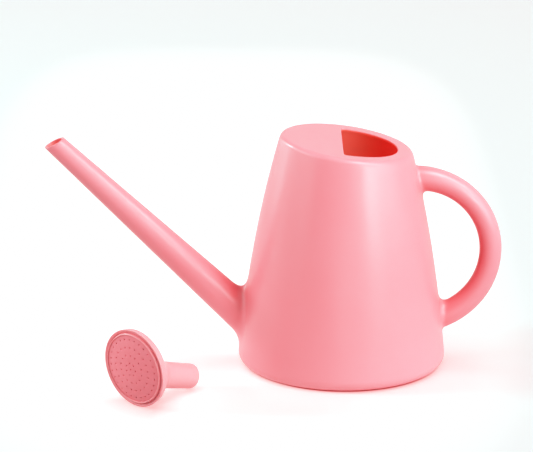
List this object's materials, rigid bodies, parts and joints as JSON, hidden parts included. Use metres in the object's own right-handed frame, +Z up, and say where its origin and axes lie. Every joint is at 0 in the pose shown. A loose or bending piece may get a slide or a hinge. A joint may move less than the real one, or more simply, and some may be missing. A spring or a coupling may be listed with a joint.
{
  "type": "watering can",
  "caption": "Long-spout watering can with a slanted top, D-shaped fill hole and loop handle, with its separate push-on rose lying beside it.",
  "frame": {"origin": "centre of the can's base, on the ground plane", "axes": "+Z up, +X towards the handle, -X towards the spout, +Y to the far side when the spout is on the left"},
  "size_m": [0.3555, 0.2128, 0.1841],
  "materials": {
    "can_plastic": "satin blow-moulded polyethylene, soft sheen with a faint mould grain",
    "rose_plastic": "satin injection-moulded plastic",
    "spray_plate_plastic": "satin injection-moulded plastic, slightly deeper pink"
  },
  "bodies": {
    "can": {"can_body": "can_plastic"},
    "rose": {"rose_body": "rose_plastic"},
    "spray_plate": {"rose_face": "spray_plate_plastic"}
  },
  "joints": [
    {"name": "rose_carry", "type": "hinge", "parent": "can", "child": "rose", "pos_m": [-0.02977, 0.18223, 0.12733], "axis": [-0.7377, 0.3015, -0.604], "range_deg": [0, 48.84]},
    {"name": "spray_plate_out", "type": "slide", "parent": "rose", "child": "spray_plate", "axis": [-0.6856, -0.7225, -0.0888], "range_m": [0, 0.015]}
  ]
}
